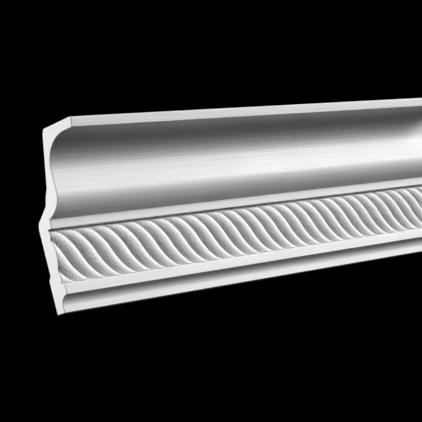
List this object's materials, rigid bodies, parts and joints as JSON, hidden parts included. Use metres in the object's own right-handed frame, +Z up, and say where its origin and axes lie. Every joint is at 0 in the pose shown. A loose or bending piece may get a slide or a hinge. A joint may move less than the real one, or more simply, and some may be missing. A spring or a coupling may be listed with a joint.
{
  "type": "cornice moulding length",
  "caption": "Straight length of white foam cornice: wide cove, ovolo and a band of slanting S-shaped ribs, to glue into the corner of wall and ceiling.",
  "frame": {"origin": "middle of the flat pad at the foot of the back, where the piece is glued to the wall", "axes": "+X along the length, +Y out of the back into the wall, +Z up to the ceiling"},
  "size_m": [0.55, 0.073, 0.15],
  "materials": {
    "primed_foam": "matt white primer on moulded rigid foam"
  },
  "bodies": {
    "root": {"cornice_length": "primed_foam"}
  },
  "joints": []
}
